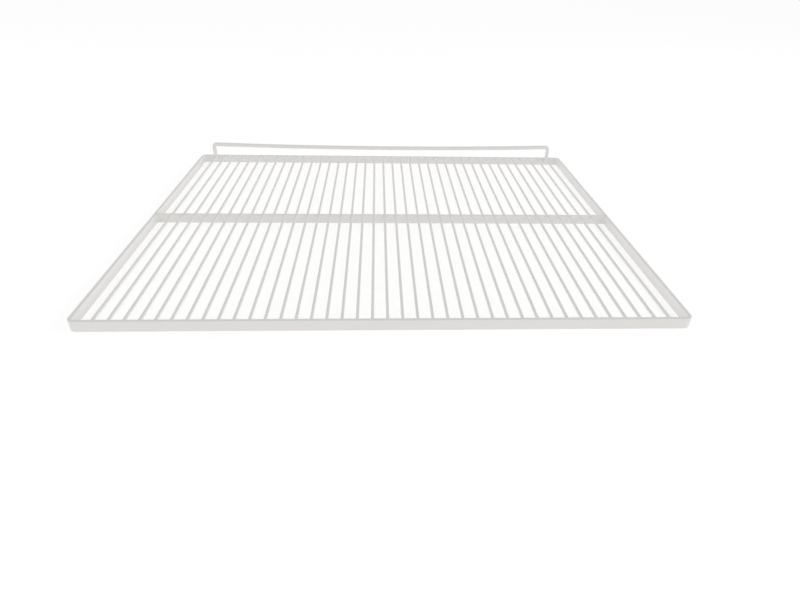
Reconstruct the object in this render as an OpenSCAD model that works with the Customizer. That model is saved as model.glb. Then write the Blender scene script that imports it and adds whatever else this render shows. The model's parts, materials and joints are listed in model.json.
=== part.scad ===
// Wire rack for a refrigerated cabinet: a coated steel grid in a flat-strip frame.
// Origin: middle of the front edge of the footprint is at x = 0, y = -rack_d / 2, and the
// strip's lower edge is at z = 0, so the origin is the centre of the underside.
// Every size includes the coating.

/* [Frame] */
// Width of the rack, left to right
rack_w = 650; // [420:1:750]
// Depth of the rack, front to back
rack_d = 530; // [320:1:700]
// Height of the frame's flat strip, which stands on its edge
strip_h = 13; // [11:0.5:20]
// Thickness of the frame's flat strip
strip_t = 4; // [3:0.1:6]
// Radius on the outside of the frame's four bends
corner_r = 8; // [7:0.5:30]
// Rounding that the coating gives to the strip's edges
edge_r = 0.8; // [0.3:0.1:1.2]

/* [Grid] */
// Diameter of a grid wire
wire_d = 3.5; // [2.5:0.1:4]
// Distance from one grid wire to the next, axis to axis
wire_pitch = 15.8; // [12:0.1:40]
// Least distance from a side strip's inner face to the axis of the nearest grid wire
side_gap = 20; // [10:0.5:60]
// How far the tops of the grid wires lie below the strip's top edge
wire_drop = 0.5; // [0.2:0.1:1]

/* [Cross bar] */
// Thickness of the cross bar under the middle of the grid
bar_t = 4; // [3:0.1:6]
// How far the cross bar stands behind the middle of the rack
bar_shift = 2; // [-60:1:60]
// Play between a grid wire and the walls of its notch in the cross bar
notch_play = 0.05; // [0.02:0.01:0.2]

/* [Back stop] */
// Diameter of the back stop's wire
stop_d = 6.5; // [4:0.1:8]
// Height of the back stop's bends above the frame's top edge
stop_rise = 24; // [18:0.5:80]
// How far past square the back stop is bent, which makes its top wire dip in the middle
over_bend = 1.55; // [0.5:0.05:3]
// Radius of the back stop's bends, measured on the wire's axis
bend_r = 5; // [4.2:0.1:10]
// How far the back stop's legs reach down the rear strip's inner face
foot_lap = 7; // [5:0.5:10]

/* [Hidden] */
$fn = 48;
coat_white = [0.93, 0.93, 0.91];
// Extra length of a cut, so that it leaves no skin
cut_over = 1;

// Inner faces of the frame
inner_x = rack_w / 2 - strip_t;
inner_y = rack_d / 2 - strip_t;

// As many wires as the pitch and the least side gap allow, in the middle of the rack
wire_count = floor((2 * inner_x - 2 * side_gap) / wire_pitch) + 1;
outer_wire_x = (wire_count - 1) * wire_pitch / 2;
wire_z = strip_h - wire_drop - wire_d / 2;

// The back stop stands against the rear strip, in line with the outermost grid wires
leg_x = outer_wire_x;
leg_y = inner_y - stop_d / 2;
foot_z = strip_h - foot_lap;
bend_z = strip_h + stop_rise - stop_d / 2 - bend_r;
// The dipping top wire is one long arc, tangent to both bends
bend_x = leg_x - bend_r;
dip_reach = bend_x / sin(over_bend);
dip_r = dip_reach - bend_r;
dip_z = bend_z + dip_reach * cos(over_bend);

function wire_name(i) = str("wire_", i < 10 ? "0" : "", i);
function wire_x(i) = (i - 1) * wire_pitch - outer_wire_x;
function is_outermost(i) = i == 1 || i == wire_count;

// Section of a flat strip on its edge: thickness along x, height along y, all edges rounded
module strip_section(thickness) {
    translate([edge_r, 0])
        square([thickness - 2 * edge_r, strip_h]);
    translate([0, edge_r])
        square([thickness, strip_h - 2 * edge_r]);
    for (x = [edge_r, thickness - edge_r], y = [edge_r, strip_h - edge_r])
        translate([x, y])
            circle(r = edge_r);
}

// A straight strip that runs along y, centred there, with its first face at x = 0
module strip(length, thickness) {
    translate([0, length / 2, 0])
        rotate([90, 0, 0])
            linear_extrude(height = length)
                strip_section(thickness);
}

// One bend of the frame, from the +x face to the +y face, about its own centre
module strip_bend() {
    rotate_extrude(angle = 90)
        translate([corner_r - strip_t, 0])
            strip_section(strip_t);
}

// One flat strip on its edge, bent at four corners and closed by a weld
module frame() {
    color(coat_white)
        union() {
            for (turn = [0, 180])
                rotate([0, 0, turn]) {
                    translate([inner_x, 0, 0])
                        strip(rack_d - 2 * corner_r, strip_t);
                    translate([0, inner_y, 0])
                        rotate([0, 0, 90])
                            mirror([0, 1, 0])
                                strip(rack_w - 2 * corner_r, strip_t);
                    translate([rack_w / 2 - corner_r, rack_d / 2 - corner_r, 0])
                        strip_bend();
                    translate([corner_r - rack_w / 2, rack_d / 2 - corner_r, 0])
                        rotate([0, 0, 90])
                            strip_bend();
                }
        }
}

// The seat of one grid wire: a round bottom that is open at the bar's top edge
module notch() {
    seat_d = wire_d + 2 * notch_play;
    rotate([90, 0, 0])
        cylinder(d = seat_d, h = bar_t + 2 * cut_over, center = true);
    translate([-seat_d / 2, -bar_t / 2 - cut_over, 0])
        cube([seat_d, bar_t + 2 * cut_over, strip_h - wire_z + cut_over]);
}

// A flat bar on its edge between the side strips, notched for the grid wires
module cross_bar() {
    color(coat_white)
        translate([0, bar_shift, 0])
            difference() {
                translate([0, -bar_t / 2, 0])
                    rotate([0, 0, 90])
                        mirror([0, 1, 0])
                            strip(2 * inner_x, bar_t);
                for (i = [1:wire_count])
                    translate([wire_x(i), 0, wire_z])
                        notch();
            }
}

// One leg of the back stop, from its foot to the start of its bend
module stop_leg(extra = 0) {
    translate([leg_x, leg_y, foot_z - extra])
        cylinder(d = stop_d, h = bend_z - foot_z + extra);
}

// Moves its children a long way in three steps, each coarse to fine, so that no digit is lost
module long_move(way) {
    whole = [for (part = way) floor(part)];
    thousandths = [for (part = way - whole) floor(part * 1000) / 1000];
    translate(whole)
        translate(thousandths)
            translate(way - whole - thousandths)
                children();
}

// A thick round wire, bent up at both ends of the rear strip into a low fence
module back_stop() {
    color(coat_white)
        union() {
            for (side = [0, 1])
                mirror([side, 0, 0]) {
                    stop_leg();
                    translate([bend_x, leg_y, bend_z])
                        rotate([90, 0, 0])
                            rotate_extrude(angle = 90 + over_bend)
                                translate([bend_r, 0])
                                    circle(d = stop_d);
                }
            long_move([0, leg_y, dip_z])
                rotate([90, 0, 0])
                    rotate_extrude(start = 270 - over_bend, angle = 2 * over_bend)
                        long_move([dip_r, 0, 0])
                            circle(d = stop_d);
        }
}

// One straight grid wire from the front strip's inner face to the rear strip's.
// The outermost two end against the back stop's legs and are coped to fit them.
module grid_wire(i) {
    back_y = is_outermost(i) ? leg_y : inner_y;
    color(coat_white)
        difference() {
            translate([wire_x(i), back_y, wire_z])
                rotate([90, 0, 0])
                    cylinder(d = wire_d, h = back_y + inner_y);
            if (is_outermost(i))
                mirror([i == 1 ? 1 : 0, 0, 0])
                    stop_leg(extra = cut_over);
        }
}

frame();
cross_bar();
back_stop();
for (i = [1:wire_count])
    grid_wire(i);
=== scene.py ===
"""Looks for a white coated wire rack: a flat-strip frame, a grid of wires, a cross bar and a bent back stop.

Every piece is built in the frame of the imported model, in metres, with its place in its mesh.
"""

import json
import math

import bmesh
import bpy
from bpy.props import FloatProperty, FloatVectorProperty, IntProperty, PointerProperty
from mathutils import Matrix, Vector

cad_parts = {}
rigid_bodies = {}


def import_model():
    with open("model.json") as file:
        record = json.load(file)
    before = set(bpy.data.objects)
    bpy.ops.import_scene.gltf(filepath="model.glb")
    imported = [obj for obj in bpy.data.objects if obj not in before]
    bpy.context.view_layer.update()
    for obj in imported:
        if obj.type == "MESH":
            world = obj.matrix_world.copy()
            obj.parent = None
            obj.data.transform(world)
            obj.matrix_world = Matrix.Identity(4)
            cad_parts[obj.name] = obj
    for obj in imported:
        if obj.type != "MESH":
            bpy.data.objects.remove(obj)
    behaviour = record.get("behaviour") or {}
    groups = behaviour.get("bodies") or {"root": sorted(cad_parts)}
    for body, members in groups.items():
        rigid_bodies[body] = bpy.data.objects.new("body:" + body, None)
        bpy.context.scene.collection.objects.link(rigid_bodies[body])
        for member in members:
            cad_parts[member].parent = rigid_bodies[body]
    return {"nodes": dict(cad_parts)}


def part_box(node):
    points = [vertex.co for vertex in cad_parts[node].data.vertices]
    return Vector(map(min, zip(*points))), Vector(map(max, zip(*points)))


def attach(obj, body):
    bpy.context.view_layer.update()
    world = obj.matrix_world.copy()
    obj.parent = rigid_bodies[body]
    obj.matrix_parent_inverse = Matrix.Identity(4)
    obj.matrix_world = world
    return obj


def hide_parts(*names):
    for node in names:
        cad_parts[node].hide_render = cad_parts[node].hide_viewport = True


bl_info = {
    "name": "Coated wire rack",
    "version": (1, 0, 0),
    "blender": (4, 5, 0),
    "location": "3D Viewport > Sidebar > Wire Rack",
    "description": "Builds the pieces, the coating and the studio of a coated wire rack",
    "category": "Object",
}

for leftover in list(bpy.data.objects):
    bpy.data.objects.remove(leftover)

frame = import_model()

MM = 0.001
BODY = "root"
WIRE_NODES = sorted(name for name in frame["nodes"] if name.startswith("wire_"))

frame_low, frame_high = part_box("frame")
bar_low, bar_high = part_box("cross_bar")
stop_low, stop_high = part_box("back_stop")
wire_low, wire_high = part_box(WIRE_NODES[1])
next_wire_low, next_wire_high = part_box(WIRE_NODES[2])

INNER_FRONT = wire_low.y
INNER_BACK = wire_high.y
WIRE_HEIGHT = (wire_low.z + wire_high.z) / 2
WIRE_PITCH = next_wire_low.x - wire_low.x
STRIP_THICKNESS = INNER_FRONT - frame_low.y
STRIP_TOP = frame_high.z

# The soft room's light by height, from straight below (0) over the horizon (0.5) to overhead (1)
ROOM_LEVELS = ((0.0, 0.85), (0.5, 1.0), (0.7, 0.92), (1.0, 0.42))
# The room's light by side: ahead and behind, what either side adds, and what the right adds over the left
ROOM_BASE = 0.92
ROOM_SIDES = 0.16
ROOM_SLANT = 0.04
# Added to the floor as the camera sees it, so that it is just white where the rack casts no shadow
FLOOR_LIFT = 0.42
# The two soft boxes: name, place in metres and power in watts, and their width and height
SOFT_BOXES = (("right_box", (2.2, -0.4, 0.9), 5.0), ("left_box", (-2.2, -0.2, 0.9), 3.0))
SOFT_BOX_SIZE = (1.6, 1.2)

# Where the photograph was taken from: lens in mm, place in metres, and yaw, pitch and roll in degrees
PHOTO_LENS = 25.149
PHOTO_SHIFT = -0.00638
PHOTO_PLACE = (-0.00959, -0.74003, 0.34002)
PHOTO_TURN = (3.2372, 32.4356, 1.5465)

# How far the ends of a grid wire and of the cross bar reach into the strip that they are welded to
WIRE_EMBED = 1.5 * MM
BAR_EMBED = 1.2 * MM
# How far an outermost wire's last web stands inside the face of the back stop's leg
LEG_BITE = 0.3 * MM
# Rounding of the back stop's feet
FOOT_ROUNDING = 1.2 * MM
# Where the rings of a coating web lie, as shares of its length
WEB_STEPS = (0.0, 0.1, 0.24, 0.42, 0.66, 1.0)
# The cuts that shape a coating run, in mm: to either side of its wire, and above the bar's lower edge
RUN_COLUMNS = (0.0, 0.6, 1.2, 1.8, 2.4, 3.0, 3.7)
RUN_LEVELS = (2.6, 4.2, 6.2, 8.6)


class RackSizes(bpy.types.PropertyGroup):
    """Sizes of the rack's own details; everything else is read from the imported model."""

    wire_diameter: FloatProperty(
        name="Grid wire",
        description="Diameter of a grid wire with its coating",
        default=3.5 * MM,
        unit="LENGTH",
        precision=5,
    )
    stop_diameter: FloatProperty(
        name="Stop wire",
        description="Diameter of the back stop's wire with its coating",
        default=6.5 * MM,
        unit="LENGTH",
        precision=5,
    )
    stop_bend: FloatProperty(
        name="Stop bend",
        description="Radius of the back stop's two bends, on the wire's axis",
        default=5.0 * MM,
        unit="LENGTH",
        precision=5,
    )
    over_bend: FloatProperty(
        name="Over bend",
        description="How far past square the back stop is bent, which makes its top wire dip",
        default=math.radians(1.55),
        subtype="ANGLE",
    )
    corner_radius: FloatProperty(
        name="Frame bend",
        description="Outer radius of the frame's four bends",
        default=8.0 * MM,
        unit="LENGTH",
        precision=5,
    )
    strip_rounding: FloatProperty(
        name="Strip edge",
        description="Rounding of the strip's edges under the coating",
        default=0.8 * MM,
        unit="LENGTH",
        precision=5,
    )
    web_reach: FloatProperty(
        name="Coating web",
        description="How far the coating spreads round a wire where it meets a face",
        default=1.0 * MM,
        unit="LENGTH",
        precision=5,
    )
    web_length: FloatProperty(
        name="Web length",
        description="How far along the wire the coating's web runs out",
        default=2.2 * MM,
        unit="LENGTH",
        precision=5,
    )
    run_depth: FloatProperty(
        name="Coating run",
        description="How far the run of coating under a wire stands proud of the cross bar",
        default=0.7 * MM,
        unit="LENGTH",
        precision=5,
    )
    wire_sides: IntProperty(
        name="Wire sides",
        description="Number of sides round a grid wire",
        default=20,
        min=8,
    )


class RackFinish(bpy.types.PropertyGroup):
    """The look of the white coating."""

    coating_colour: FloatVectorProperty(
        name="Coating",
        description="Colour of the plastic coating",
        default=(0.828, 0.818, 0.802),
        subtype="COLOR",
        size=3,
        min=0.0,
        max=1.0,
    )
    thick_colour: FloatVectorProperty(
        name="Thick coating",
        description="Colour where the coating lies a little thicker",
        default=(0.812, 0.800, 0.778),
        subtype="COLOR",
        size=3,
        min=0.0,
        max=1.0,
    )
    coating_roughness: FloatProperty(
        name="Roughness",
        description="Roughness of the semi-gloss coating",
        default=0.36,
        min=0.0,
        max=1.0,
        subtype="FACTOR",
    )


# Small hand tools


def open_piece(piece):
    """Opens one piece for shaping, with nothing selected on it."""
    bpy.ops.object.select_all(action="DESELECT")
    piece.select_set(True)
    bpy.context.view_layer.objects.active = piece
    bpy.ops.object.mode_set(mode="EDIT")
    bpy.ops.mesh.select_mode(type="VERT")
    bpy.ops.mesh.select_all(action="DESELECT")


def close_piece():
    """Ends the shaping of the open piece."""
    bpy.ops.object.mode_set(mode="OBJECT")


def name_new_piece(name):
    """Names the primitive that was just added and puts its place and size into its mesh."""
    piece = bpy.context.object
    piece.name = name
    piece.data.name = name
    bpy.ops.object.transform_apply(location=True, rotation=True, scale=True)
    return piece


def pick_points(piece, wanted):
    """Selects the points of the open piece whose place passes the test."""
    bpy.ops.mesh.select_mode(type="VERT")
    bpy.ops.mesh.select_all(action="DESELECT")
    shape = bmesh.from_edit_mesh(piece.data)
    for point in shape.verts:
        if wanted(point.co):
            point.select_set(True)
    shape.select_flush(True)
    bmesh.update_edit_mesh(piece.data)


def pick_edges(piece, wanted):
    """Selects the edges of the open piece whose two ends pass the test."""
    bpy.ops.mesh.select_mode(type="EDGE")
    bpy.ops.mesh.select_all(action="DESELECT")
    shape = bmesh.from_edit_mesh(piece.data)
    for edge in shape.edges:
        if wanted(edge.verts[0].co, edge.verts[1].co):
            edge.select_set(True)
    bmesh.update_edit_mesh(piece.data)


def pick_faces(piece, wanted):
    """Selects the faces of the open piece whose middle and normal pass the test."""
    bpy.ops.mesh.select_mode(type="FACE")
    bpy.ops.mesh.select_all(action="DESELECT")
    shape = bmesh.from_edit_mesh(piece.data)
    for face in shape.faces:
        if wanted(face.calc_center_median(), face.normal):
            face.select_set(True)
    bmesh.update_edit_mesh(piece.data)


def cut_across(place, normal):
    """Cuts a ring through the whole open piece, without parting it."""
    bpy.ops.mesh.select_all(action="SELECT")
    bpy.ops.mesh.bisect(plane_co=place, plane_no=normal)


def face_outwards():
    """Merges doubles and turns every face of the open piece outwards."""
    bpy.ops.mesh.select_all(action="SELECT")
    bpy.ops.mesh.remove_doubles(threshold=0.01 * MM)
    bpy.ops.mesh.normals_make_consistent(inside=False)


def apply_modifier(piece, kind, **settings):
    """Adds one modifier to a piece and applies it."""
    bpy.ops.object.select_all(action="DESELECT")
    piece.select_set(True)
    bpy.context.view_layer.objects.active = piece
    modifier = piece.modifiers.new(kind.title(), kind)
    for setting, value in settings.items():
        setattr(modifier, setting, value)
    bpy.ops.object.modifier_apply(modifier=modifier.name)


def smooth_piece(piece, angle=50.0):
    """Shades a piece smooth, keeps its sharp edges and lets its flat faces stay flat."""
    bpy.ops.object.select_all(action="DESELECT")
    piece.select_set(True)
    bpy.context.view_layer.objects.active = piece
    bpy.ops.object.shade_smooth_by_angle(angle=math.radians(angle))
    apply_modifier(piece, "WEIGHTED_NORMAL", keep_sharp=True, weight=60)


def fit_out(piece, nodes, finish):
    """Gives a finished piece its coating and its place in the model, and hides the nodes that it stands for.
    """
    piece.data.materials.clear()
    piece.data.materials.append(finish)
    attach(piece, BODY)
    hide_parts(*nodes)


# Coating


def coating_tone_group():
    """Shared effect: slow changes of tone where the coating ran thicker or thinner."""
    name = "coating_tone"
    if name in bpy.data.node_groups:
        return bpy.data.node_groups[name]
    group = bpy.data.node_groups.new(name, "ShaderNodeTree")
    face = group.interface
    face.new_socket("Thin Colour", in_out="INPUT", socket_type="NodeSocketColor")
    face.new_socket("Thick Colour", in_out="INPUT", socket_type="NodeSocketColor")
    face.new_socket("Scale", in_out="INPUT", socket_type="NodeSocketFloat").default_value = 30.0
    face.new_socket("Amount", in_out="INPUT", socket_type="NodeSocketFloat").default_value = 0.5
    face.new_socket("Colour", in_out="OUTPUT", socket_type="NodeSocketColor")
    face.new_socket("Mask", in_out="OUTPUT", socket_type="NodeSocketFloat")
    nodes, links = group.nodes, group.links
    entry = nodes.new("NodeGroupInput")
    leave = nodes.new("NodeGroupOutput")
    place = nodes.new("ShaderNodeTexCoord")
    clouds = nodes.new("ShaderNodeTexNoise")
    clouds.inputs["Detail"].default_value = 3.0
    clouds.inputs["Roughness"].default_value = 0.55
    spread = nodes.new("ShaderNodeMapRange")
    spread.inputs["From Min"].default_value = 0.35
    spread.inputs["From Max"].default_value = 0.68
    share = nodes.new("ShaderNodeMath")
    share.operation = "MULTIPLY"
    blend = nodes.new("ShaderNodeMix")
    blend.data_type = "RGBA"
    links.new(place.outputs["Object"], clouds.inputs["Vector"])
    links.new(entry.outputs["Scale"], clouds.inputs["Scale"])
    links.new(clouds.outputs["Fac"], spread.inputs["Value"])
    links.new(spread.outputs["Result"], share.inputs[0])
    links.new(entry.outputs["Amount"], share.inputs[1])
    links.new(share.outputs["Value"], blend.inputs["Factor"])
    links.new(entry.outputs["Thin Colour"], blend.inputs["A"])
    links.new(entry.outputs["Thick Colour"], blend.inputs["B"])
    links.new(blend.outputs["Result"], leave.inputs["Colour"])
    links.new(share.outputs["Value"], leave.inputs["Mask"])
    return group


def orange_peel_group():
    """Shared effect: the fine dimpled skin and the slow waves of a melted plastic coating."""
    name = "orange_peel"
    if name in bpy.data.node_groups:
        return bpy.data.node_groups[name]
    group = bpy.data.node_groups.new(name, "ShaderNodeTree")
    face = group.interface
    face.new_socket("Peel Scale", in_out="INPUT", socket_type="NodeSocketFloat").default_value = 900.0
    face.new_socket("Wave Scale", in_out="INPUT", socket_type="NodeSocketFloat").default_value = 110.0
    face.new_socket("Wave Share", in_out="INPUT", socket_type="NodeSocketFloat").default_value = 0.6
    face.new_socket("Height", in_out="OUTPUT", socket_type="NodeSocketFloat")
    nodes, links = group.nodes, group.links
    entry = nodes.new("NodeGroupInput")
    leave = nodes.new("NodeGroupOutput")
    place = nodes.new("ShaderNodeTexCoord")
    peel = nodes.new("ShaderNodeTexNoise")
    peel.inputs["Detail"].default_value = 1.5
    wave = nodes.new("ShaderNodeTexNoise")
    wave.inputs["Detail"].default_value = 1.0
    blend = nodes.new("ShaderNodeMix")
    links.new(place.outputs["Object"], peel.inputs["Vector"])
    links.new(place.outputs["Object"], wave.inputs["Vector"])
    links.new(entry.outputs["Peel Scale"], peel.inputs["Scale"])
    links.new(entry.outputs["Wave Scale"], wave.inputs["Scale"])
    links.new(entry.outputs["Wave Share"], blend.inputs["Factor"])
    links.new(peel.outputs["Fac"], blend.inputs["A"])
    links.new(wave.outputs["Fac"], blend.inputs["B"])
    links.new(blend.outputs["Result"], leave.inputs["Height"])
    return group


def coating_finish(name, tone_scale, tone_amount, peel_scale, wave_scale, depth):
    """A semi-gloss white plastic coating over steel."""
    if name in bpy.data.materials:
        return bpy.data.materials[name]
    look = bpy.context.scene.rack_finish
    finish = bpy.data.materials.new(name)
    finish.use_nodes = True
    nodes, links = finish.node_tree.nodes, finish.node_tree.links
    shader = nodes["Principled BSDF"]
    shader.inputs["IOR"].default_value = 1.48
    tone = nodes.new("ShaderNodeGroup")
    tone.node_tree = coating_tone_group()
    tone.inputs["Thin Colour"].default_value = (*look.coating_colour, 1.0)
    tone.inputs["Thick Colour"].default_value = (*look.thick_colour, 1.0)
    tone.inputs["Scale"].default_value = tone_scale
    tone.inputs["Amount"].default_value = tone_amount
    peel = nodes.new("ShaderNodeGroup")
    peel.node_tree = orange_peel_group()
    peel.inputs["Peel Scale"].default_value = peel_scale
    peel.inputs["Wave Scale"].default_value = wave_scale
    bump = nodes.new("ShaderNodeBump")
    bump.inputs["Strength"].default_value = 0.5
    bump.inputs["Distance"].default_value = depth
    gloss = nodes.new("ShaderNodeMapRange")
    gloss.inputs["To Min"].default_value = look.coating_roughness - 0.05
    gloss.inputs["To Max"].default_value = look.coating_roughness + 0.09
    links.new(tone.outputs["Colour"], shader.inputs["Base Color"])
    links.new(tone.outputs["Mask"], gloss.inputs["Value"])
    links.new(gloss.outputs["Result"], shader.inputs["Roughness"])
    links.new(peel.outputs["Height"], bump.inputs["Height"])
    links.new(bump.outputs["Normal"], shader.inputs["Normal"])
    return finish


def strip_finish():
    """The coating on the flat strips."""
    return coating_finish("coated_strip", 26.0, 0.7, 700.0, 90.0, 0.05 * MM)


def wire_finish():
    """The coating on the grid wires."""
    return coating_finish("coated_wire", 40.0, 0.6, 950.0, 160.0, 0.04 * MM)


def stop_finish():
    """The coating on the back stop's thicker wire."""
    return coating_finish("coated_stop", 34.0, 0.6, 800.0, 120.0, 0.05 * MM)


# Pieces


class RACK_OT_strip_frame(bpy.types.Operator):
    """Bends one rounded flat strip round the rack's four corners"""

    bl_idname = "rack.strip_frame"
    bl_label = "Strip Frame"

    def execute(self, context):
        sizes = context.scene.rack_sizes
        bpy.ops.object.select_all(action="DESELECT")
        middle = (frame_low + frame_high) / 2
        bpy.ops.mesh.primitive_plane_add(size=1, location=(middle.x, middle.y, frame_low.z))
        context.object.scale = (frame_high.x - frame_low.x, frame_high.y - frame_low.y, 1)
        ring = name_new_piece("strip_frame")
        open_piece(ring)
        bpy.ops.mesh.select_all(action="SELECT")
        bpy.ops.mesh.bevel(offset=sizes.corner_radius, segments=10, affect="VERTICES")
        bpy.ops.mesh.select_mode(type="FACE")
        bpy.ops.mesh.select_all(action="SELECT")
        bpy.ops.mesh.inset(thickness=STRIP_THICKNESS, depth=0)
        pick_faces(ring, lambda place, normal: abs(place.x) < 0.1 and abs(place.y) < 0.1)
        bpy.ops.mesh.delete(type="FACE")
        bpy.ops.mesh.select_all(action="SELECT")
        rise = STRIP_TOP - frame_low.z
        bpy.ops.mesh.extrude_region_move(TRANSFORM_OT_translate={"value": (0, 0, rise)})
        face_outwards()
        pick_edges(ring, lambda a, b: abs(a.z - b.z) < 0.01 * MM and self.along_a_rim(a, b))
        bpy.ops.mesh.bevel(offset=sizes.strip_rounding, segments=5, affect="EDGES")
        face_outwards()
        close_piece()
        smooth_piece(ring)
        fit_out(ring, ["frame"], strip_finish())
        return {"FINISHED"}

    def along_a_rim(self, a, b):
        """True for an edge that runs along the strip, false for one across its thickness."""
        return abs(self.depth_in_strip(a) - self.depth_in_strip(b)) < STRIP_THICKNESS / 2

    def depth_in_strip(self, point):
        """How far a point lies from the outside of the frame, corners included."""
        radius = bpy.context.scene.rack_sizes.corner_radius
        reach_x = frame_high.x - radius
        reach_y = frame_high.y - radius
        beyond_x = max(abs(point.x) - reach_x, 0.0)
        beyond_y = max(abs(point.y) - reach_y, 0.0)
        if beyond_x > 0 and beyond_y > 0:
            return radius - math.hypot(beyond_x, beyond_y)
        return min(frame_high.x - abs(point.x), frame_high.y - abs(point.y))


def web_rings(sizes):
    """Distances from a face and the growth of the wire's radius there, for the coating's web."""
    return [(sizes.web_length * step, sizes.web_reach * (1 - step) ** 2) for step in WEB_STEPS]


def shape_grid_wire(name, back_face, back_end):
    """One grid wire at x = 0, with the coating's webs at both ends and at the cross bar."""
    sizes = bpy.context.scene.rack_sizes
    radius = sizes.wire_diameter / 2
    front_end = INNER_FRONT - WIRE_EMBED
    bpy.ops.object.select_all(action="DESELECT")
    bpy.ops.mesh.primitive_cylinder_add(
        vertices=sizes.wire_sides,
        radius=radius,
        depth=back_end - front_end,
        location=(0, (back_end + front_end) / 2, WIRE_HEIGHT),
        rotation=(math.pi / 2, 0, 0),
    )
    wire = name_new_piece(name)
    open_piece(wire)
    joints = ((INNER_FRONT, 1), (bar_low.y, -1), (bar_high.y, 1), (back_face, -1))
    rings = []
    for face, away in joints:
        for distance, growth in web_rings(sizes):
            rings.append((face + away * distance, growth))
    for place, growth in rings:
        cut_across((0, place, 0), (0, 1, 0))
    # The ends inside the strips carry the full web
    rings.append((front_end, sizes.web_reach))
    rings.append((back_end, sizes.web_reach))
    for place, growth in rings:
        if growth < 0.001 * MM:
            continue
        pick_points(wire, lambda p: abs(p.y - place) < 0.02 * MM)
        widen = (radius + growth) / radius
        bpy.ops.transform.resize(value=(widen, 1, 1), center_override=(0, place, WIRE_HEIGHT))
        pick_points(wire, lambda p: abs(p.y - place) < 0.02 * MM and p.z < WIRE_HEIGHT)
        bpy.ops.transform.resize(value=(1, 1, widen), center_override=(0, place, WIRE_HEIGHT))
        lift = (radius + 0.3 * growth) / radius
        pick_points(wire, lambda p: abs(p.y - place) < 0.02 * MM and p.z > WIRE_HEIGHT)
        bpy.ops.transform.resize(value=(1, 1, lift), center_override=(0, place, WIRE_HEIGHT))
    face_outwards()
    close_piece()
    return wire


class RACK_OT_grid_wires(bpy.types.Operator):
    """Shapes one grid wire with its coating webs and repeats it along the rack"""

    bl_idname = "rack.grid_wires"
    bl_label = "Grid Wires"

    def execute(self, context):
        sizes = context.scene.rack_sizes
        leg_face = stop_low.y
        leg_end = stop_low.y + sizes.stop_diameter / 2
        inner = shape_grid_wire("grid_wire_pattern", INNER_BACK, INNER_BACK + WIRE_EMBED)
        outer = shape_grid_wire("side_wire_pattern", leg_face + LEG_BITE, leg_end)
        for node in WIRE_NODES:
            low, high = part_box(node)
            outermost = node in (WIRE_NODES[0], WIRE_NODES[-1])
            bpy.ops.object.select_all(action="DESELECT")
            pattern = outer if outermost else inner
            pattern.select_set(True)
            context.view_layer.objects.active = pattern
            bpy.ops.object.duplicate()
            wire = context.object
            wire.name = "grid_" + node
            wire.data.name = wire.name
            bpy.ops.transform.translate(value=((low.x + high.x) / 2, 0, 0))
            bpy.ops.object.transform_apply(location=True, rotation=True, scale=True)
            smooth_piece(wire)
            fit_out(wire, [node], wire_finish())
        bpy.data.objects.remove(inner)
        bpy.data.objects.remove(outer)
        return {"FINISHED"}


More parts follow.
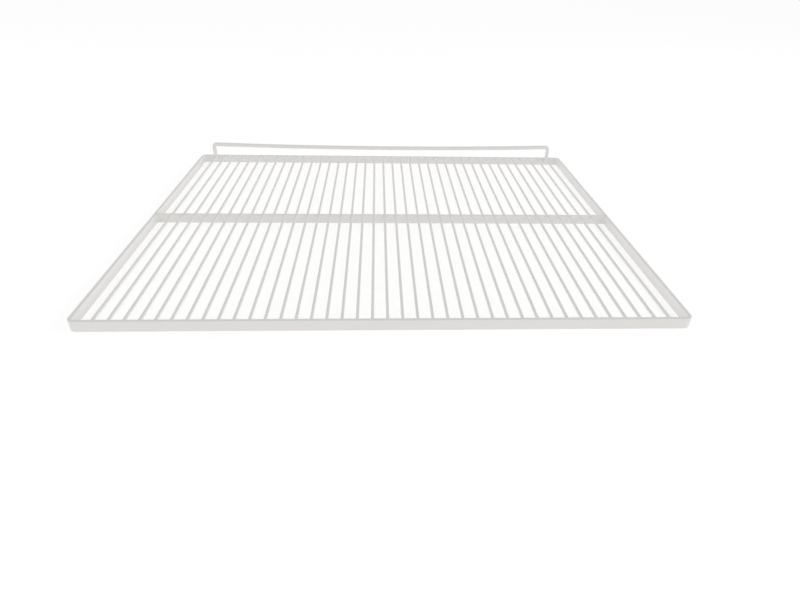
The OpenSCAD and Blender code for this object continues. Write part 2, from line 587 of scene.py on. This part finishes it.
class RACK_OT_cross_bar(bpy.types.Operator):
    """Shapes one bay of the cross bar with the coating's run under its wire, and repeats it"""

    bl_idname = "rack.cross_bar"
    bl_label = "Cross Bar"

    def execute(self, context):
        sizes = context.scene.rack_sizes
        thickness = bar_high.y - bar_low.y
        middle_y = (bar_high.y + bar_low.y) / 2
        height = bar_high.z - bar_low.z
        half_bay = WIRE_PITCH / 2
        first_x = (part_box(WIRE_NODES[0])[0].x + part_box(WIRE_NODES[0])[1].x) / 2
        bpy.ops.object.select_all(action="DESELECT")
        bpy.ops.mesh.primitive_cube_add(size=1, location=(first_x, middle_y, height / 2))
        context.object.scale = (WIRE_PITCH, thickness, height)
        bar = name_new_piece("notched_bar")
        open_piece(bar)
        pick_faces(bar, lambda place, normal: abs(normal.x) > 0.9)
        bpy.ops.mesh.delete(type="ONLY_FACE")
        pick_edges(bar, lambda a, b: abs(a.x - b.x) > half_bay)
        bpy.ops.mesh.bevel(offset=min(sizes.strip_rounding, thickness * 0.4), segments=5, affect="EDGES")
        for away in RUN_COLUMNS:
            for side in (-1, 1):
                if away > 0 or side > 0:
                    cut_across((first_x + side * away * MM, 0, 0), (1, 0, 0))
        for level in RUN_LEVELS:
            cut_across((0, 0, level * MM), (0, 0, 1))
        self.raise_run(bar, first_x, middle_y, thickness)
        close_piece()
        apply_modifier(
            bar,
            "ARRAY",
            count=len(WIRE_NODES),
            use_relative_offset=False,
            use_constant_offset=True,
            constant_offset_displace=(WIRE_PITCH, 0, 0),
            use_merge_vertices=True,
            merge_threshold=0.02 * MM,
        )
        self.reach_side_strips(bar, first_x - half_bay)
        smooth_piece(bar)
        fit_out(bar, ["cross_bar"], strip_finish())
        return {"FINISHED"}

    def raise_run(self, bar, wire_x, middle_y, thickness):
        """Lifts the coating's run under the wire off both faces, and dips the bar's top over the wire."""
        sizes = bpy.context.scene.rack_sizes
        half_width = RUN_COLUMNS[-1] * MM
        for away in RUN_COLUMNS[:-1]:
            share = 0.5 + 0.5 * math.cos(math.pi * away * MM / half_width)
            for side in (-1, 1):
                if away == 0 and side < 0:
                    continue
                column_x = wire_x + side * away * MM
                for face in (-1, 1):
                    pick_points(
                        bar,
                        lambda p: abs(p.x - column_x) < 0.05 * MM
                        and face * (p.y - middle_y) > thickness * 0.3
                        and p.z > 1.0 * MM,
                    )
                    bpy.ops.transform.translate(value=(0, face * sizes.run_depth * share, 0))
                pick_points(
                    bar,
                    lambda p: abs(p.x - column_x) < 0.05 * MM and p.z > bar_high.z - 0.1 * MM,
                )
                bpy.ops.transform.translate(value=(0, 0, -0.3 * MM * share))

    def reach_side_strips(self, bar, left_end):
        """Draws both open ends out to the side strips and flares them into the strips' coating."""
        sizes = bpy.context.scene.rack_sizes
        right_end = -left_end
        wall = bar_high.x
        open_piece(bar)
        for side, end in ((-1, left_end), (1, right_end)):
            pick_edges(bar, lambda a, b: abs(a.x - end) < 0.05 * MM and abs(b.x - end) < 0.05 * MM)
            place = end
            thickness = bar_high.y - bar_low.y
            middle_y = (bar_high.y + bar_low.y) / 2
            for distance, growth in reversed(web_rings(sizes)):
                step = side * (wall - distance) - place
                bpy.ops.mesh.extrude_region_move(TRANSFORM_OT_translate={"value": (step, 0, 0)})
                place += step
                wider = bar_high.y - bar_low.y + 2 * growth
                bpy.ops.transform.resize(
                    value=(1, wider / thickness, 1), center_override=(place, middle_y, 0)
                )
                thickness = wider
            bpy.ops.mesh.extrude_region_move(TRANSFORM_OT_translate={"value": (side * BAR_EMBED, 0, 0)})
            bpy.ops.mesh.edge_face_add()
        face_outwards()
        close_piece()


class RACK_OT_back_stop(bpy.types.Operator):
    """Bends the thick wire of the back stop and rounds its two feet"""

    bl_idname = "rack.back_stop"
    bl_label = "Back Stop"

    def execute(self, context):
        sizes = context.scene.rack_sizes
        radius = sizes.stop_diameter / 2
        leg_x = stop_low.x + radius
        leg_y = (stop_low.y + stop_high.y) / 2
        bend_z = stop_high.z - radius - sizes.stop_bend
        bend_x = -leg_x - sizes.stop_bend
        dip_z = bend_z + bend_x / math.tan(sizes.over_bend)
        bpy.ops.object.select_all(action="DESELECT")
        bpy.ops.mesh.primitive_circle_add(
            vertices=32, radius=radius, fill_type="NOTHING", location=(leg_x, leg_y, stop_low.z)
        )
        stop = name_new_piece("stop_wire")
        open_piece(stop)
        bpy.ops.mesh.select_all(action="SELECT")
        for step in range(8):
            rise = (bend_z - stop_low.z) / 8
            bpy.ops.mesh.extrude_region_move(TRANSFORM_OT_translate={"value": (0, 0, rise)})
        bpy.ops.mesh.spin(
            steps=12,
            angle=-math.pi / 2 - sizes.over_bend,
            center=(leg_x + sizes.stop_bend, leg_y, bend_z),
            axis=(0, 1, 0),
        )
        bpy.ops.mesh.spin(
            steps=20,
            angle=sizes.over_bend,
            center=(0, leg_y, dip_z),
            axis=(0, 1, 0),
        )
        close_piece()
        apply_modifier(stop, "MIRROR", use_axis=(True, False, False), merge_threshold=0.02 * MM)
        open_piece(stop)
        pick_edges(stop, lambda a, b: a.z < stop_low.z + 0.01 * MM and b.z < stop_low.z + 0.01 * MM)
        bpy.ops.mesh.edge_face_add()
        face_outwards()
        pick_edges(stop, lambda a, b: a.z < stop_low.z + 0.01 * MM and b.z < stop_low.z + 0.01 * MM)
        bpy.ops.mesh.bevel(offset=FOOT_ROUNDING, segments=4, affect="EDGES")
        face_outwards()
        close_piece()
        smooth_piece(stop)
        fit_out(stop, ["back_stop"], stop_finish())
        return {"FINISHED"}


# Studio


def plain_floor():
    """A pale floor that reads white to the camera and keeps the rack's shadow.

    To the light that bounces off the rack it is open, so that the soft room below it lights the
    undersides and inner faces as an evenly lit pale table does.
    """
    finish = bpy.data.materials.new("studio_floor")
    finish.use_nodes = True
    nodes, links = finish.node_tree.nodes, finish.node_tree.links
    nodes.clear()
    output = nodes.new("ShaderNodeOutputMaterial")
    matt = nodes.new("ShaderNodeBsdfDiffuse")
    matt.inputs["Color"].default_value = (0.84, 0.84, 0.84, 1)
    lift = nodes.new("ShaderNodeEmission")
    lift.inputs["Strength"].default_value = FLOOR_LIFT
    both = nodes.new("ShaderNodeAddShader")
    open_air = nodes.new("ShaderNodeBsdfTransparent")
    seen = nodes.new("ShaderNodeLightPath")
    either = nodes.new("ShaderNodeMath")
    either.operation = "MAXIMUM"
    choice = nodes.new("ShaderNodeMixShader")
    links.new(matt.outputs["BSDF"], both.inputs[0])
    links.new(lift.outputs["Emission"], both.inputs[1])
    links.new(seen.outputs["Is Camera Ray"], either.inputs[0])
    links.new(seen.outputs["Is Glossy Ray"], either.inputs[1])
    links.new(either.outputs["Value"], choice.inputs["Fac"])
    links.new(open_air.outputs["BSDF"], choice.inputs[1])
    links.new(both.outputs["Shader"], choice.inputs[2])
    links.new(choice.outputs["Shader"], output.inputs["Surface"])
    return finish


def studio_world():
    """A soft room: white to the camera and in reflections, dimmer overhead, brighter at the sides."""
    world = bpy.data.worlds.new("soft_room")
    bpy.context.scene.world = world
    world.use_nodes = True
    nodes, links = world.node_tree.nodes, world.node_tree.links
    nodes.clear()
    output = nodes.new("ShaderNodeOutputWorld")
    room = nodes.new("ShaderNodeBackground")
    room.inputs["Color"].default_value = (1, 1, 1, 1)
    white = nodes.new("ShaderNodeBackground")
    white.inputs["Color"].default_value = (1, 1, 1, 1)
    white.inputs["Strength"].default_value = 1.0
    choice = nodes.new("ShaderNodeMixShader")
    place = nodes.new("ShaderNodeTexCoord")
    split = nodes.new("ShaderNodeSeparateXYZ")
    height = nodes.new("ShaderNodeMapRange")
    height.inputs["From Min"].default_value = -1.0
    height.inputs["From Max"].default_value = 1.0
    levels = nodes.new("ShaderNodeValToRGB")
    ramp = levels.color_ramp.elements
    ramp[0].color = (ROOM_LEVELS[0][1],) * 3 + (1,)
    ramp[-1].color = (ROOM_LEVELS[-1][1],) * 3 + (1,)
    for at, level in ROOM_LEVELS[1:-1]:
        ramp.new(at).color = (level,) * 3 + (1,)
    side = nodes.new("ShaderNodeMath")
    side.operation = "MULTIPLY"
    sides = nodes.new("ShaderNodeMath")
    sides.operation = "MULTIPLY_ADD"
    sides.inputs[1].default_value = ROOM_SIDES
    sides.inputs[2].default_value = ROOM_BASE
    slant = nodes.new("ShaderNodeMath")
    slant.operation = "MULTIPLY_ADD"
    slant.inputs[1].default_value = ROOM_SLANT
    total = nodes.new("ShaderNodeMath")
    total.operation = "MULTIPLY"
    seen = nodes.new("ShaderNodeLightPath")
    glossy = nodes.new("ShaderNodeMath")
    glossy.operation = "MAXIMUM"
    clear = nodes.new("ShaderNodeMath")
    clear.operation = "MAXIMUM"
    links.new(place.outputs["Generated"], split.inputs["Vector"])
    links.new(split.outputs["Z"], height.inputs["Value"])
    links.new(height.outputs["Result"], levels.inputs["Fac"])
    links.new(split.outputs["X"], side.inputs[0])
    links.new(split.outputs["X"], side.inputs[1])
    links.new(side.outputs["Value"], sides.inputs[0])
    links.new(split.outputs["X"], slant.inputs[0])
    links.new(sides.outputs["Value"], slant.inputs[2])
    links.new(levels.outputs["Color"], total.inputs[0])
    links.new(slant.outputs["Value"], total.inputs[1])
    links.new(total.outputs["Value"], room.inputs["Strength"])
    links.new(seen.outputs["Is Camera Ray"], glossy.inputs[0])
    links.new(seen.outputs["Is Glossy Ray"], glossy.inputs[1])
    links.new(glossy.outputs["Value"], clear.inputs[0])
    links.new(seen.outputs["Is Transmission Ray"], clear.inputs[1])
    links.new(clear.outputs["Value"], choice.inputs["Fac"])
    links.new(room.outputs["Background"], choice.inputs[1])
    links.new(white.outputs["Background"], choice.inputs[2])
    links.new(choice.outputs["Shader"], output.inputs["Surface"])


def soft_box(name, place, target, width, height, power):
    """One large square lamp that looks at a point."""
    bpy.ops.object.select_all(action="DESELECT")
    bpy.ops.object.light_add(type="AREA", location=place)
    lamp = bpy.context.object
    lamp.name = name
    lamp.data.shape = "RECTANGLE"
    lamp.data.size = width
    lamp.data.size_y = height
    lamp.data.energy = power
    way = Vector(target) - Vector(place)
    lamp.rotation_euler = way.to_track_quat("-Z", "Y").to_euler()


class RACK_OT_studio(bpy.types.Operator):
    """Sets up the floor, the soft room, the lamps and the camera"""

    bl_idname = "rack.studio"
    bl_label = "Studio"

    def execute(self, context):
        bpy.ops.object.select_all(action="DESELECT")
        bpy.ops.mesh.primitive_plane_add(size=30, location=(0, 0, frame_low.z - 0.2 * MM))
        floor = name_new_piece("studio_floor")
        floor.data.materials.append(plain_floor())
        studio_world()
        for name, place, power in SOFT_BOXES:
            soft_box(name, place, (0, 0, 0), *SOFT_BOX_SIZE, power)
        self.set_camera(context)
        view = context.scene.view_settings
        view.view_transform = "Standard"
        return {"FINISHED"}

    def set_camera(self, context):
        """Puts the camera where the photograph was taken from."""
        camera_data = bpy.data.cameras.new("photo_camera")
        camera = bpy.data.objects.new("photo_camera", camera_data)
        context.scene.collection.objects.link(camera)
        camera_data.sensor_width = 36.0
        camera_data.lens = PHOTO_LENS
        camera_data.shift_x = PHOTO_SHIFT
        camera_data.clip_start = 0.01
        camera_data.clip_end = 100.0
        yaw, pitch, roll = (math.radians(a) for a in PHOTO_TURN)
        ahead = Vector(
            (math.sin(yaw) * math.cos(pitch), math.cos(yaw) * math.cos(pitch), -math.sin(pitch))
        )
        level = Vector((math.cos(yaw), -math.sin(yaw), 0))
        above = level.cross(ahead)
        right = math.cos(roll) * level + math.sin(roll) * above
        up = math.cos(roll) * above - math.sin(roll) * level
        turn = Matrix((right, up, -ahead)).transposed()
        camera.matrix_world = Matrix.Translation(PHOTO_PLACE) @ turn.to_4x4()
        context.scene.camera = camera


class RACK_PT_sidebar(bpy.types.Panel):
    """Lists the rack's pieces, sizes and finish"""

    bl_label = "Wire Rack"
    bl_space_type = "VIEW_3D"
    bl_region_type = "UI"
    bl_category = "Wire Rack"

    def draw(self, context):
        layout = self.layout
        pieces = layout.column(align=True)
        for maker in PIECE_MAKERS:
            pieces.operator(maker.bl_idname)
        for group in (context.scene.rack_sizes, context.scene.rack_finish):
            box = layout.box()
            for setting in group.__annotations__:
                box.prop(group, setting)


PIECE_MAKERS = (
    RACK_OT_strip_frame,
    RACK_OT_cross_bar,
    RACK_OT_grid_wires,
    RACK_OT_back_stop,
    RACK_OT_studio,
)
CLASSES = (RackSizes, RackFinish, *PIECE_MAKERS, RACK_PT_sidebar)


def register():
    for cls in CLASSES:
        bpy.utils.register_class(cls)
    bpy.types.Scene.rack_sizes = PointerProperty(type=RackSizes)
    bpy.types.Scene.rack_finish = PointerProperty(type=RackFinish)


def unregister():
    del bpy.types.Scene.rack_finish
    del bpy.types.Scene.rack_sizes
    for cls in reversed(CLASSES):
        bpy.utils.unregister_class(cls)


def main():
    """Builds every piece in order."""
    register()
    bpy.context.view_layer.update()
    bpy.ops.rack.strip_frame()
    bpy.ops.rack.cross_bar()
    bpy.ops.rack.grid_wires()
    bpy.ops.rack.back_stop()
    bpy.ops.rack.studio()


if __name__ == "__main__":
    main()
